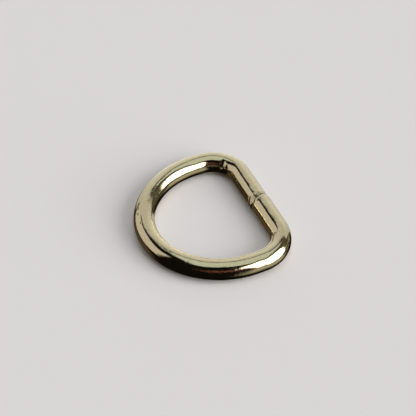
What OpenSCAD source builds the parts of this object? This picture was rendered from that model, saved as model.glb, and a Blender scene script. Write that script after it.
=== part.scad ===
// D ring of round wire for a 25 mm strap, welded shut at the middle of its straight bar.
// The ring lies flat on z = 0. The bar runs along X on the +Y side and the bow comes round to -Y.
// The origin is under the middle of the outline, on the surface that the ring lies on.

/* [Wire] */
// Diameter of the wire
wire_d = 4.2; // [3:0.1:5.5]

/* [Opening] */
// Clear width at the widest place
inner_w = 25; // [20:0.5:40]
// Length of the upright stretch of each side, at the widest place
side_l = 1.7; // [0.5:0.1:8]
// Inner radius of the two corners beside the bar
corner_r = 4.3; // [2:0.1:8]
// Inner radius at the foot of the bow
foot_r = 11.2; // [7:0.1:12.5]

/* [Weld] */
// Length of the weld between the two ends of the wire
weld_l = 1.5; // [0.8:0.1:3]
// How far the weld's middle lies to the +X side of the bar's middle
weld_x = 0.35; // [-1:0.05:1]
// How far the weld's surface lies below the wire's
weld_sink = 0.1; // [0.08:0.01:0.3]
// Radius of the worn edge round each end of the wire
end_r = 0.25; // [0.1:0.05:0.6]
// How far the -X end of the wire stands in towards the opening
seam_step = 0.14; // [0:0.02:0.3]

/* [Weld marks] */
// Width of the round pit on top of the weld
pit_d = 1; // [0.6:0.1:1.4]
// Depth of the pit
pit_depth = 0.14; // [0.05:0.01:0.25]
// How far the pit lies to the +X side of the weld's middle
pit_x = 0.5; // [-0.5:0.05:0.7]
// Angle from the top of the wire towards the opening at which the pit lies
pit_angle = 20; // [0:5:45]
// Thickness of the bead of flash on the inner side of the weld
flash_d = 0.7; // [0.5:0.1:1.2]
// How far the flash stands out of the wire
flash_h = 0.14; // [0.05:0.01:0.3]
// How far the flash lies to the +X side of the weld's middle
flash_x = 0.3; // [-0.4:0.05:0.4]
// Angle from the top of the wire at which the flash starts
flash_from = 60; // [30:5:80]
// Angle from the top of the wire at which the flash ends
flash_to = 105; // [90:5:150]
// Diameter of the round blob at each end of the flash
blob_d = 0.8; // [0.6:0.1:1.2]

/* [Hidden] */

// Smoothness of the bends, of the wire's section and of the small marks
bend_fn = 180;
wire_fn = 64;
mark_fn = 32;

// Half the width of the wire's centreline, and the radii of its arcs
half_w = (inner_w + wire_d) / 2;
corner_mid_r = corner_r + wire_d / 2;
foot_mid_r = foot_r + wire_d / 2;

// The foot passes into each side where their common radius runs 3 across to 4 down.
// The side is upright where it reaches the full width, which gives its radius.
meet = [3 / 5, 4 / 5];
meet_angle = atan2(meet.x, meet.y);
side_mid_r = (half_w - foot_mid_r * meet.x) / (1 - meet.x);

// Height of the centreline, from the foot to the bar
bow_h = foot_mid_r * (1 - meet.y) + side_mid_r * meet.y;
mid_h = bow_h + side_l + corner_mid_r;
bar_y = mid_h / 2;

// Centres of the foot and of the +X side, and where the bar meets the +X corner
foot_c = [0, foot_mid_r - bar_y];
side_c = [half_w - side_mid_r, bow_h - bar_y];
corner_x = half_w - corner_mid_r;

// The weld reaches a little way into both ends of the wire, past their worn edges
weld_root = 0.15;
weld_r = wire_d / 2 - weld_sink;
weld_y = bar_y - seam_step / 2;

// Radius of the ball that presses the pit, and of the flash's own middle line
pit_r = (pit_d ^ 2 / 4 + pit_depth ^ 2) / (2 * pit_depth);
flash_mid_r = wire_d / 2 + flash_h - flash_d / 2;

// An arc of wire about a centre, between two angles that are counted from the way it faces
module bend(centre, radius, from, to, facing = 0) {
    translate([centre.x, centre.y, wire_d / 2])
        rotate([0, 0, facing])
            rotate_extrude(start = from, angle = to - from, $fn = bend_fn)
                translate([radius, 0])
                    circle(d = wire_d, $fn = wire_fn);
}

// Half the section of a straight wire, with a worn edge round its far end
module straight_section(length) {
    square([wire_d / 2, length - end_r]);
    square([wire_d / 2 - end_r, length]);
    translate([wire_d / 2 - end_r, length - end_r])
        circle(r = end_r, $fn = mark_fn);
}

// The +X side of the wire, with a given upright stretch, from the foot round to its end at a given x
module side_wire(upright, end_x) {
    corner_y = side_c.y + upright;
    bend(side_c, side_mid_r, meet_angle - 90, 0);
    translate([half_w, side_c.y, wire_d / 2])
        rotate([-90, 0, 0])
            cylinder(d = wire_d, h = upright, $fn = wire_fn);
    bend([corner_x, corner_y], corner_mid_r, 0, 90);
    translate([corner_x, corner_y + corner_mid_r, wire_d / 2])
        rotate([0, -90, 0])
            rotate_extrude($fn = wire_fn)
                straight_section(corner_x - end_x);
}

// Core of the weld, a little thinner than the wire
module weld() {
    translate([weld_x, weld_y, wire_d / 2])
        rotate([0, 90, 0])
            cylinder(r = weld_r, h = weld_l + 2 * (end_r + weld_root), center = true, $fn = wire_fn);
}

// Carries its children along and out from the middle of the weld, at an angle from the top
module on_weld(along, angle, radius) {
    translate([weld_x + along, weld_y, wire_d / 2])
        rotate([angle, 0, 0])
            translate([0, 0, radius])
                children();
}

// Bead of flash round the inner side of the weld, with a blob at each end
module flash() {
    translate([weld_x + flash_x, weld_y, wire_d / 2])
        rotate([0, -90, 180])
            rotate_extrude(start = flash_from, angle = flash_to - flash_from, $fn = bend_fn)
                translate([flash_mid_r, 0])
                    circle(d = flash_d, $fn = mark_fn);
    for (angle = [flash_from, flash_to])
        on_weld(flash_x, angle, flash_mid_r)
            sphere(d = blob_d, $fn = mark_fn);
}

module d_ring() {
    color("palegoldenrod")
        difference() {
            union() {
                bend(foot_c, foot_mid_r, -meet_angle, meet_angle, facing = -90);
                side_wire(side_l, weld_l / 2 + weld_x);
                mirror([1, 0, 0])
                    side_wire(side_l - seam_step, weld_l / 2 - weld_x);
                weld();
                flash();
            }
            on_weld(pit_x, pit_angle, weld_r - pit_depth + pit_r)
                sphere(r = pit_r, $fn = wire_fn);
        }
}

d_ring();
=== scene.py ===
"""Looks of the D ring: round wire in pale gold plating, welded shut at the middle of its straight bar.

The ring is one mesh swept along the centreline of the CAD solid. Its relief holds the weld, the forming
marks and the soft dents of a tumbled part. Sizes are in millimetres and angles in degrees until the mesh
is made.
"""

import math

import bpy
import numpy as np
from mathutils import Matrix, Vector


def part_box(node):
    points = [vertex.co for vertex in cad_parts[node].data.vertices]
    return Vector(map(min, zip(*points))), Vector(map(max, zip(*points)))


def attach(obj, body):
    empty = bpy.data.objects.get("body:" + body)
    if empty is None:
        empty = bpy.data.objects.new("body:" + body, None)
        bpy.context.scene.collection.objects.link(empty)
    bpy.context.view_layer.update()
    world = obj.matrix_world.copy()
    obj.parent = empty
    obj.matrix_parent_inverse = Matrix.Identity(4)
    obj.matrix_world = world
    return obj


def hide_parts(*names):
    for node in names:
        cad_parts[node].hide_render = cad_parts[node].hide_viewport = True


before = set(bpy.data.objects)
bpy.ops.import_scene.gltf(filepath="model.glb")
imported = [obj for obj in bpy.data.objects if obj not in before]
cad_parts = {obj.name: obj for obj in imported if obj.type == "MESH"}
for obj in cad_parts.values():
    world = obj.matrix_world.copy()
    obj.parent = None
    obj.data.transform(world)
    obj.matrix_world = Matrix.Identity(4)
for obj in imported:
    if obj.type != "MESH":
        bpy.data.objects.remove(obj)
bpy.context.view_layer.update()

MM = 0.001

# The wire and its outline, from the frame's box and the radii of the CAD source
low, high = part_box("d_ring")
WIRE_D = (high.z - low.z) / MM
WIRE_R = WIRE_D / 2
HALF_W = (high.x - low.x) / MM / 2 - WIRE_R
MID_H = (high.y - low.y) / MM - WIRE_D
BAR_Y = MID_H / 2
CORNER_MID_R = 4.3 + WIRE_R
FOOT_MID_R = 11.2 + WIRE_R
MEET_X, MEET_Y = 3 / 5, 4 / 5
SIDE_MID_R = (HALF_W - FOOT_MID_R * MEET_X) / (1 - MEET_X)
BOW_H = FOOT_MID_R * (1 - MEET_Y) + SIDE_MID_R * MEET_Y
SIDE_L = MID_H - BOW_H - CORNER_MID_R
BAR_HALF = HALF_W - CORNER_MID_R

# The weld: its length, its middle, and the step between the wire's two ends
WELD_L = 1.5
WELD_X = 0.35
SEAM_STEP = 0.14

# How fine the mesh is: along the wire, at the weld and elsewhere, and round it, above and below
FINE_STEP = 0.04
FINE_REACH = 1.8
COARSE_STEP = 0.13
UPPER_ROWS = 96
LOWER_ROWS = 34
UPPER_FROM, UPPER_TO = -80, 120

# Drawing lines run along the wire: how little their pattern changes that way
DRAWN_OUT = 0.05

SEED = 7


def ramp(x, start, end):
    """0 before start, 1 after end, and smooth between."""
    t = np.clip((x - start) / (end - start), 0, 1)
    return t * t * (3 - 2 * t)


def segments():
    """(length, curvature) of each stretch of the wire, clockwise from the weld's middle and back to it."""
    turn = math.atan2(MEET_X, MEET_Y)
    corner = (CORNER_MID_R * math.pi / 2, 1 / CORNER_MID_R)
    side = (SIDE_MID_R * (math.pi / 2 - turn), 1 / SIDE_MID_R)
    foot = (FOOT_MID_R * 2 * turn, 1 / FOOT_MID_R)
    right = [(BAR_HALF - WELD_X, 0), corner, (SIDE_L, 0), side]
    left = [side, (SIDE_L - SEAM_STEP, 0), corner, (BAR_HALF + WELD_X, 0)]
    return right + [foot] + left


def centreline(distances):
    """Points of the centreline and its outward directions, at distances from the weld's middle."""
    points = np.zeros((len(distances), 2))
    heading = np.zeros(len(distances))
    start, turned, walked = np.array([WELD_X, BAR_Y]), 0.0, 0.0
    for length, curvature in segments():
        here = (distances >= walked) & (distances <= walked + length + 1e-9)
        along = distances[here] - walked
        for t, target in ((along, here), (np.array([length]), None)):
            if curvature:
                angle = turned - t * curvature
                across = np.stack([np.sin(turned) - np.sin(angle), np.cos(angle) - np.cos(turned)], -1)
                spot = start + across / curvature
            else:
                angle = np.full(len(t), turned)
                spot = start + t[:, None] * [math.cos(turned), math.sin(turned)]
            if target is not None:
                points[here] = spot
                heading[here] = angle
        start, turned, walked = spot[0], angle[0], walked + length
    return points, np.stack([-np.sin(heading), np.cos(heading)], -1)


WIRE_LENGTH = sum(length for length, _ in segments())


def stations():
    """Distances of the mesh's rings along the wire, closer together at the weld."""
    fine = np.arange(0, FINE_REACH, FINE_STEP)
    count = round((WIRE_LENGTH - 2 * FINE_REACH) / COARSE_STEP)
    middle = np.linspace(FINE_REACH, WIRE_LENGTH - FINE_REACH, count)
    return np.concatenate([fine, middle, (WIRE_LENGTH - fine[1:])[::-1]])


def turns():
    """Angles of the mesh's rows round the wire, closer together on the upper side."""
    upper = np.linspace(UPPER_FROM, UPPER_TO, UPPER_ROWS, endpoint=False)
    lower = np.linspace(UPPER_TO, UPPER_FROM + 360, LOWER_ROWS, endpoint=False)
    return (np.concatenate([upper, lower]) + 180) % 360 - 180


class Surface:
    """The wire's surface as a sheet: along, from the weld's middle, by angle from the wire's top.

    Along is positive towards +X, and angles are positive towards the opening. Marks add to height, in
    millimetres, and to grime and painted shade, from 0 to 1. Shift moves the surface outwards at the weld, in
    millimetres.
    """

    def __init__(self, distances, angles):
        self.stations = np.where(distances > WIRE_LENGTH / 2, distances - WIRE_LENGTH, distances)
        self.along, self.angle = np.meshgrid(self.stations, angles, indexing="ij")
        self.height = np.zeros(self.along.shape)
        self.grime_and_shade = np.zeros(self.along.shape)
        self.peel = np.zeros(self.along.shape)
        self.shift = np.zeros(self.along.shape)

    def away(self, along, angle, reach):
        """The stations near a spot, and how far their points lie from it along the wire and round it."""
        down = (self.stations - along + WIRE_LENGTH / 2) % WIRE_LENGTH - WIRE_LENGTH / 2
        near = np.abs(down) <= reach
        across = ((self.angle[near] - angle + 180) % 360 - 180) * math.pi / 180 * WIRE_R
        return near, down[near][:, None], across

    def mark(self, along, angle, length, width, height, grime_and_shade=0.0, lean=0.0):
        """A round or long swelling, or a dent where height is negative, leaning from the wire's run."""
        near, down, across = self.away(along, angle, max(length, width) / 2)
        c, s = math.cos(math.radians(lean)), math.sin(math.radians(lean))
        u = (down * c + across * s) / (length / 2)
        v = (across * c - down * s) / (width / 2)
        shape = np.clip(1 - u * u - v * v, 0, 1) ** 2
        self.height[near] += height * shape
        # Grime and painted shade: the mark darkens towards its middle, where pits and dents hold shade.
        self.grime_and_shade[near] = np.maximum(self.grime_and_shade[near], grime_and_shade * np.sqrt(shape))

    def shade_patch(self, start, end, low, high, grime_and_shade, soft=1.0):
        """Painted shade on a stretch of the wire, between two angles: a dark patch where the wire's
        reflection is dark.
        """
        cover = ramp(self.along, start - soft, start + soft) * (1 - ramp(self.along, end - soft, end + soft))
        cover *= ramp(self.angle, low - 8, low + 8) * (1 - ramp(self.angle, high - 8, high + 8))
        self.grime_and_shade = np.maximum(self.grime_and_shade, grime_and_shade * cover)


# The edge of the +X end of the wire slants across the bar: how far along it lies, by angle from the top
SEAM_ANGLES = (-180, -120, -90, -60, -35, -20, 3, 28, 38, 48, 70, 110, 180)
SEAM_ALONG = (0.2, 0.0, -0.05, 0.05, 0.0, -0.15, 0.0, 0.15, 0.5, 0.75, 0.65, 0.5, 0.2)

# Swellings, pits and flash of the weld: along, angle, length, width, height, grime and painted shade, and
# lean
WELD_MARKS = [
    (-0.7, 26, 1.1, 0.9, 0.05, 0.0, 0),
    (-2.4, 30, 3.8, 1.2, 0.03, 0.0, 0),
    (0.25, 20, 0.9, 0.8, -0.05, 0.0, 0),
    (0.6, 20, 1.2, 1.1, 0.04, 0.0, 0),
    (0.04, 18, 0.55, 1.2, -0.035, 1.0, 0),
    (1.02, 27, 0.75, 0.6, -0.015, 1.0, 0),
    (0.78, 12, 0.5, 0.6, -0.01, 0.45, 0),
    (0.15, 77, 1.9, 0.65, 0.10, 0.0, 43),
    (-0.36, 62, 0.45, 0.4, 0.05, 0.0, 0),
    (-0.85, 57, 0.6, 1.1, -0.07, 1.0, 0),
]


def add_weld(surface):
    """The join of the wire's two ends: a slanting step, a groove, a low fillet, a pit and some flash."""
    past = surface.along - np.interp(surface.angle, SEAM_ANGLES, SEAM_ALONG)
    over = ramp(past, -0.12, 0.12)
    surface.shift = SEAM_STEP * np.where(surface.along < 0, over, over - 1)
    surface.shift[np.abs(surface.along) > WELD_L] = 0
    filled = 0.35 + 0.65 * (1 - ramp(surface.angle, 28, 40)) * ramp(surface.angle, -60, -10)
    filled *= 1 - 0.9 * ramp(surface.angle, 48, 60)
    groove = filled * np.clip(1 - (past / 0.2) ** 2, 0, 1) ** 2
    fillet = ramp(surface.along, -0.9, -0.6) * (1 - ramp(past, -0.15, 0.1))
    worn = (past > 0) * (1 - ramp(past, 0, 0.42)) * (1 - 0.6 * ramp(surface.angle, 24, 40))
    surface.height -= 0.07 * groove + 0.035 * fillet + 0.08 * worn
    # Painted shade, partly grime: the groove and the fillet beside it are darkened where shade falls in the
    # crease.
    surface.grime_and_shade = np.maximum(surface.grime_and_shade, np.maximum(0.8 * groove, 0.22 * fillet))
    for mark in WELD_MARKS:
        surface.mark(*mark)


# Marks of forming and handling: along, angle, length, width, height, grime and painted shade, and lean
MARKS = [
    (-13.0, 57, 2.2, 2.8, -0.17, 0.0, 0),
    (-13.5, 58, 0.9, 2.6, -0.04, 1.0, 0),
    (-14.0, 84, 0.7, 1.8, -0.10, 0.9, 0),
    (-13.4, 84, 0.4, 0.4, 0.06, 0.0, 0),
    (-13.5, 28, 0.5, 1.4, -0.03, 0.2, 12),
    (-7.0, 33, 0.5, 0.4, -0.03, 0.0, 0),
    (10.75, 38, 0.6, 0.5, -0.03, 0.7, 0),
    (10.85, 32, 0.8, 0.8, -0.03, 0.5, 30),
    (11.3, 44, 0.9, 0.5, -0.02, 0.3, -30),
    (12.4, -67, 0.7, 1.0, -0.07, 0.0, 0),
    (12.9, -57, 0.8, 0.6, -0.07, 0.7, 0),
    (13.6, -62, 0.6, 1.2, -0.06, 0.5, 20),
    (12.6, -38, 0.9, 0.6, -0.03, 0.3, -30),
    (13.9, -25, 1.1, 0.5, -0.02, 0.2, 10),
    (36.4, -5, 1.0, 0.5, -0.04, 0.6, 0),
    (37.8, -8, 2.4, 0.35, -0.02, 0.5, 6),
    (-39.2, -35, 0.7, 0.6, -0.04, 0.7, 0),
    (-41.7, -23, 0.8, 0.4, -0.04, 0.7, 0),
    (-37.5, -34, 2.2, 0.5, -0.03, 0.5, -6),
]

# Stretches with painted shade on them: start and end along the wire, from and to what angle, and how much
SHADE_PATCHES = [
    (-9, -1.2, 68, 110, 0.6),
    (-17, -12.5, 48, 110, 0.4),
    (-36, -28.5, 24, 60, 0.3),
]

# Random wear: how many dents, their sizes and how deep they are for their size, and the waves
DENTS = 700
DENT_SIZES = (0.3, 1.1)
DENT_DEPTHS = (0.002, 0.008)
WAVES = 26
WAVE_HEIGHT = 0.03


def add_marks(surface):
    """The marks, and the patches of painted shade on the wire."""
    for mark in MARKS:
        surface.mark(*mark)
    for shade_patch in SHADE_PATCHES:
        surface.shade_patch(*shade_patch)


def add_wear(surface):
    """Soft dents and slow waves all over, but nothing that stands out where the ring rests."""
    rng = np.random.default_rng(SEED)
    for _ in range(DENTS):
        size = rng.uniform(*DENT_SIZES)
        depth = size * rng.uniform(*DENT_DEPTHS)
        along, angle = rng.uniform(-WIRE_LENGTH / 2, WIRE_LENGTH / 2), rng.uniform(-180, 180)
        width = size * rng.uniform(0.5, 1.0)
        surface.mark(along, angle, size, width, -depth, 0.0, rng.uniform(-90, 90))
    turn = np.radians(surface.angle)
    for _ in range(WAVES):
        waves, rows = rng.integers(6, 34), rng.integers(-3, 4)
        phase = 2 * math.pi * (waves * surface.along / WIRE_LENGTH + rng.uniform()) + rows * turn
        surface.height += WAVE_HEIGHT / waves * np.cos(phase)
    resting = ramp(np.abs(surface.angle), 150, 165)
    surface.height = np.where(surface.height > 0, surface.height * (1 - resting), surface.height)


def add_peel(surface):
    """Where the plating is coarser: outside on the bow, and a little at the near corner and far bow."""
    along, angle = surface.along, surface.angle
    bow = ramp(along, 21, 25) * (1 - ramp(along, 31, 35))
    corner = ramp(along, 10, 12.5) * (1 - ramp(along, 14, 16))
    far_bow = ramp(along, -37, -35) * (1 - ramp(along, -28, -26))
    inside = ramp(angle, 10, 20) * (1 - ramp(angle, 55, 65))
    surface.peel = bow * ramp(-angle, 41, 50)
    surface.peel = np.maximum(surface.peel, 0.2 * far_bow * inside)
    surface.peel = np.maximum(surface.peel, 0.3 * corner * ramp(-angle, 15, 35))


def build_ring():
    """The ring's mesh, with what the material needs to know at each point."""
    distances = stations()
    angles = turns()
    surface = Surface(distances, angles)
    add_weld(surface)
    add_marks(surface)
    add_wear(surface)
    add_peel(surface)

    points, outward = centreline(distances)
    radius = WIRE_R + surface.height
    rad = np.radians(surface.angle)
    aside = -np.sin(rad) * radius
    x = points[:, :1] + outward[:, :1] * aside
    y = points[:, 1:] + outward[:, 1:] * aside + surface.shift
    z = WIRE_R + np.cos(rad) * radius
    vertices = np.stack([x, y, z], -1).reshape(-1, 3) * MM

    n, m = surface.along.shape
    i, j = np.meshgrid(np.arange(n), np.arange(m), indexing="ij")
    i2, j2 = (i + 1) % n, (j + 1) % m
    quads = np.stack([i * m + j, i * m + j2, i2 * m + j2, i2 * m + j], -1).reshape(-1, 4)

    mesh = bpy.data.meshes.new("ring_wire")
    mesh.from_pydata(vertices.tolist(), [], quads.tolist())
    mesh.polygons.foreach_set("use_smooth", np.ones(len(quads), bool))
    u1 = distances[i] / WIRE_LENGTH
    u2 = np.where(i2 == 0, 1.0, distances[i2] / WIRE_LENGTH)
    round_it = (angles - UPPER_FROM) % 360 / 360
    v1 = round_it[j]
    v2 = np.where(j2 == 0, 1.0, round_it[j2])
    corners = np.stack([u1, v1, u1, v2, u2, v2, u2, v1], -1)
    mesh.uv_layers.new(name="wire").data.foreach_set("uv", corners.ravel())
    for name, values in (("grime_and_shade", surface.grime_and_shade), ("peel", surface.peel)):
        mesh.attributes.new(name, "FLOAT", "POINT").data.foreach_set("value", values.ravel())
    drawn = np.stack([np.cos(rad) * WIRE_R, np.sin(rad) * WIRE_R, surface.along * DRAWN_OUT], -1)
    mesh.attributes.new("drawn", "FLOAT_VECTOR", "POINT").data.foreach_set("vector", drawn.ravel())
    mesh.update()
    ring = bpy.data.objects.new("ring_wire", mesh)
    bpy.context.scene.collection.objects.link(ring)
    return ring


class Nodes:
    """A short way to add nodes to a tree and join them."""

    def __init__(self, tree):
        self.tree = tree
        tree.nodes.clear()

    def add(self, kind, settings=None, **inputs):
        node = self.tree.nodes.new(kind)
        for name, value in (settings or {}).items():
            setattr(node, name, value)
        for name, value in inputs.items():
            socket = node.inputs[int(name[1:])] if name[1:].isdigit() else node.inputs[name.replace("_", " ")]
            self.join(value, socket)
        return node

    def join(self, value, socket):
        if isinstance(value, bpy.types.NodeSocket):
            self.tree.links.new(value, socket)
        else:
            socket.default_value = value

    def math(self, operation, a, b=0.0):
        return self.add("ShaderNodeMath", {"operation": operation}, i0=a, i1=b).outputs[0]

    def ramp(self, value, start, end, low=0.0, high=1.0):
        smooth = {"interpolation_type": "SMOOTHSTEP"}
        node = self.add("ShaderNodeMapRange", smooth, i0=value, i1=start, i2=end, i3=low, i4=high)
        return node.outputs[0]

    def noise(self, vector, scale, detail=2.0, roughness=0.5):
        sizes = {"Scale": scale, "Detail": detail, "Roughness": roughness}
        return self.add("ShaderNodeTexNoise", Vector=vector, **sizes).outputs["Fac"]

    def blend(self, factor, a, b):
        node = self.add("ShaderNodeMix", {"data_type": "RGBA"}, i0=factor)
        self.join(a, node.inputs[6])
        self.join(b, node.inputs[7])
        return node.outputs[2]


# Colours of the plating: two tints of pale gold, the tarnish in its specks, and the dark brown of the grime
# and painted shade in its marks, creases and patches
GOLD = (0.91, 0.79, 0.535, 1)
PALE_GOLD = (0.885, 0.805, 0.555, 1)
TARNISH = (0.42, 0.33, 0.18, 1)
GRIME_AND_SHADE = (0.045, 0.034, 0.018, 1)

# The plating's fine relief, in metres, and how much stronger the coarse peel is
PEEL_HEIGHT = 0.000009
COARSE_PEEL = 6.2


def plated_gold():
    """Pale gold plating: a little tint, a fine peel, faint drawing lines, and dark brown grime and painted
    shade in the marks, creases and patches.
    """
    material = bpy.data.materials.new("plated_wire")
    material.use_nodes = True
    n = Nodes(material.node_tree)
    place = n.add("ShaderNodeTexCoord").outputs["Object"]
    drawn = n.add("ShaderNodeAttribute", {"attribute_name": "drawn"}).outputs["Vector"]
    grime_and_shade = n.add("ShaderNodeAttribute", {"attribute_name": "grime_and_shade"}).outputs["Fac"]
    coarse = n.add("ShaderNodeAttribute", {"attribute_name": "peel"}).outputs["Fac"]

    tint = n.ramp(n.noise(place, 700, 3), 0.3, 0.7)
    colour = n.blend(tint, GOLD, PALE_GOLD)
    specks = n.ramp(n.noise(place, 4200, 2), 0.35, 0.65, 0.0, 0.2)
    colour = n.blend(specks, colour, TARNISH)
    # Painted shade and grime: marks, creases and patches turn dark brown, broken up by noise.
    worn = n.math("MULTIPLY", grime_and_shade, n.ramp(n.noise(place, 3500, 3), 0.25, 0.6, 0.65, 1.0))
    colour = n.blend(worn, colour, GRIME_AND_SHADE)

    rough = n.ramp(n.noise(place, 900, 4), 0.3, 0.75, 0.06, 0.13)
    rough = n.math("ADD", rough, n.math("MULTIPLY", grime_and_shade, 0.2))
    fine = n.noise(place, 2600, 3, 0.6)
    rich = n.math("MULTIPLY", n.noise(place, 2700, 1), n.math("MULTIPLY", coarse, COARSE_PEEL))
    lines = n.math("MULTIPLY", n.noise(drawn, 9, 3), 0.35)
    relief = n.math("ADD", n.math("ADD", fine, rich), lines)
    bump = n.add("ShaderNodeBump", Strength=1.0, Distance=PEEL_HEIGHT, Height=relief).outputs[0]
    look = {"Metallic": 1.0, "Roughness": rough, "Normal": bump}
    shader = n.add("ShaderNodeBsdfPrincipled", Base_Color=colour, **look)
    n.add("ShaderNodeOutputMaterial", Surface=shader.outputs[0])
    return material


def floor_material():
    """Plain pale matt paint."""
    material = bpy.data.materials.new("pale_floor")
    material.use_nodes = True
    n = Nodes(material.node_tree)
    shader = n.add("ShaderNodeBsdfPrincipled", Base_Color=(0.83, 0.80, 0.82, 1), Roughness=0.9)
    n.add("ShaderNodeOutputMaterial", Surface=shader.outputs[0])
    return material


def build_floor():
    """A round floor whose rim curves up, so that it fills the view from every side."""
    flat, bend, wall, around = 1.2, 0.5, 0.9, 96
    profile = [(0.02, 0.0), (0.1, 0.0), (flat, 0.0)]
    for t in np.linspace(0, math.pi / 2, 13)[1:]:
        profile.append((flat + bend * math.sin(t), bend * (1 - math.cos(t))))
    profile.append((flat + bend, bend + wall))
    vertices = [(0, 0, 0)]
    for radius, height in profile:
        for a in np.arange(around) * 2 * math.pi / around:
            vertices.append((radius * math.cos(a), radius * math.sin(a), height))
    faces = [(0, 1 + k, 1 + (k + 1) % around) for k in range(around)]
    for ring in range(len(profile) - 1):
        a, b = 1 + ring * around, 1 + (ring + 1) * around
        faces += [(a + k, b + k, b + (k + 1) % around, a + (k + 1) % around) for k in range(around)]
    mesh = bpy.data.meshes.new("floor")
    mesh.from_pydata(vertices, [], faces)
    mesh.polygons.foreach_set("use_smooth", np.ones(len(faces), bool))
    mesh.materials.append(floor_material())
    floor = bpy.data.objects.new("floor", mesh)
    bpy.context.scene.collection.objects.link(floor)
    floor.visible_glossy = False
    floor.visible_shadow = False
    floor.visible_diffuse = False


# The kinds of light in the studio, from the lamp itself to the dark room behind the cards
KEY_LIGHT = (4.0, 4.0, 4.0)
WHITE = (0.9, 0.9, 0.9)
PALE = (0.7, 0.7, 0.67)
MIDDLE = (0.5, 0.5, 0.47)
WARM = (0.56, 0.53, 0.5)
GREENISH = (0.55, 0.6, 0.55)
DIM = (0.4, 0.38, 0.3)
OLIVE = (0.08, 0.07, 0.04)
REDDISH = (0.15, 0.06, 0.05)
BROWN = (0.07, 0.05, 0.03)
ROOM = (0.005, 0.004, 0.003)

# The studio: large soft cards round the ring. Each row has a card's name, the azimuth of its middle, from
# -Y towards +X, its elevation, its roll, its width and height as they look from 1 m away, half its soft
# edge, and its light. A card hides what the rows before it hold.
CARDS = [
    ("ground", -85, -40, 0, 3.0, 0.8, 0.2, BROWN),
    ("ground_glow", 130, -25, 0, 1.2, 0.8, 0.3, DIM),
    ("dark_gap", -178, 15, 0, 1.2, 1.6, 0.05, OLIVE),
    ("sill", 178, 0, 0, 0.6, 0.1, 0.05, DIM),
    ("door", 75, 27, 0, 0.9, 0.3, 0.2, REDDISH),
    ("left_wall", -40, 22, 15, 1.3, 1.05, 0.05, WARM),
    ("back_wall", -120, 8, 18, 1.9, 1.9, 0.05, MIDDLE),
    ("wall_pool", -120, 8, 10, 1.1, 1.0, 0.3, PALE),
    ("wall_foot", -112, -15, 0, 0.6, 0.6, 0.1, WHITE),
    ("ceiling", -155, 82, 40, 0.8, 0.95, 0.05, GREENISH),
    ("key_rim", 132, 24, 8, 1.15, 1.1, 0.12, WHITE),
    ("key", 132, 24, 8, 1.05, 0.95, 0.1, KEY_LIGHT),
]


def card_axes(azimuth, elevation, roll):
    """The way to a card's middle, and its sideways and upward directions."""
    a, e, r = (math.radians(x) for x in (azimuth, elevation, roll))
    middle = Vector((math.sin(a) * math.cos(e), -math.cos(a) * math.cos(e), math.sin(e)))
    level = Vector((math.cos(a), math.sin(a), 0))
    upright = Vector((-math.sin(a) * math.sin(e), math.cos(a) * math.sin(e), math.cos(e)))
    sideways = level * math.cos(r) + upright * math.sin(r)
    upwards = upright * math.cos(r) - level * math.sin(r)
    return middle, sideways, upwards


def build_studio():
    """The world's background: the dark room with the cards in it, by direction alone."""
    world = bpy.data.worlds.new("studio")
    bpy.context.scene.world = world
    world.use_nodes = True
    n = Nodes(world.node_tree)
    direction = n.add("ShaderNodeTexCoord").outputs["Generated"]

    def along(axis):
        node = n.add("ShaderNodeVectorMath", {"operation": "DOT_PRODUCT"}, i0=direction, i1=axis)
        return node.outputs["Value"]

    light = (*ROOM, 1)
    for name, azimuth, elevation, roll, width, height, edge, colour in CARDS:
        towards, sideways, upwards = (along(axis) for axis in card_axes(azimuth, elevation, roll))
        cover = n.math("GREATER_THAN", towards, 0.05)
        for offset, size in ((sideways, width), (upwards, height)):
            spot = n.math("ABSOLUTE", n.math("DIVIDE", offset, towards))
            cover = n.math("MULTIPLY", cover, n.ramp(spot, size / 2 - edge, size / 2 + edge, 1.0, 0.0))
        light = n.blend(cover, light, (*colour, 1))
        light.node.label = name
    background = n.add("ShaderNodeBackground", Color=light, Strength=1.0)
    n.add("ShaderNodeOutputWorld", Surface=background.outputs[0])


# The light above the floor: its width and height in metres, and its power in watts
FILL_SIZE = 0.9
FILL_HEIGHT = 0.9
FILL_POWER = 1.7


def build_fill():
    """Soft light from above for the floor alone. It isn't seen in the metal."""
    lamp = bpy.data.lights.new("fill", "AREA")
    lamp.shape = "DISK"
    lamp.size = FILL_SIZE
    lamp.energy = FILL_POWER
    light = bpy.data.objects.new("fill", lamp)
    light.location = (0, 0, FILL_HEIGHT)
    light.visible_glossy = False
    bpy.context.scene.collection.objects.link(light)


# The camera, at the photograph's angle: azimuth, elevation and distance from a target on the floor
VIEW_AZIMUTH = 65.5
VIEW_ELEVATION = 46.7
VIEW_DISTANCE = 214.4
VIEW_TARGET = (-4.16, 2.6, 0.0)
FOCAL_PIXELS = 1052
FRAME_PIXELS = 416


def build_camera():
    """A plain camera without depth of field, as long as the photograph's."""
    a, e = math.radians(VIEW_AZIMUTH), math.radians(VIEW_ELEVATION)
    back = Vector((math.sin(a) * math.cos(e), -math.cos(a) * math.cos(e), math.sin(e)))
    data = bpy.data.cameras.new("camera")
    data.lens = data.sensor_width * FOCAL_PIXELS / FRAME_PIXELS
    data.clip_start = 0.001
    camera = bpy.data.objects.new("camera", data)
    camera.location = (Vector(VIEW_TARGET) + back * VIEW_DISTANCE) * MM
    camera.rotation_mode = "QUATERNION"
    camera.rotation_quaternion = (-back).to_track_quat("-Z", "Y")
    bpy.context.scene.collection.objects.link(camera)
    bpy.context.scene.camera = camera


ring = build_ring()
ring.data.materials.append(plated_gold())
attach(ring, "root")
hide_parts("d_ring")

build_floor()
build_studio()
build_fill()
build_camera()
bpy.context.scene.view_settings.view_transform = "Standard"
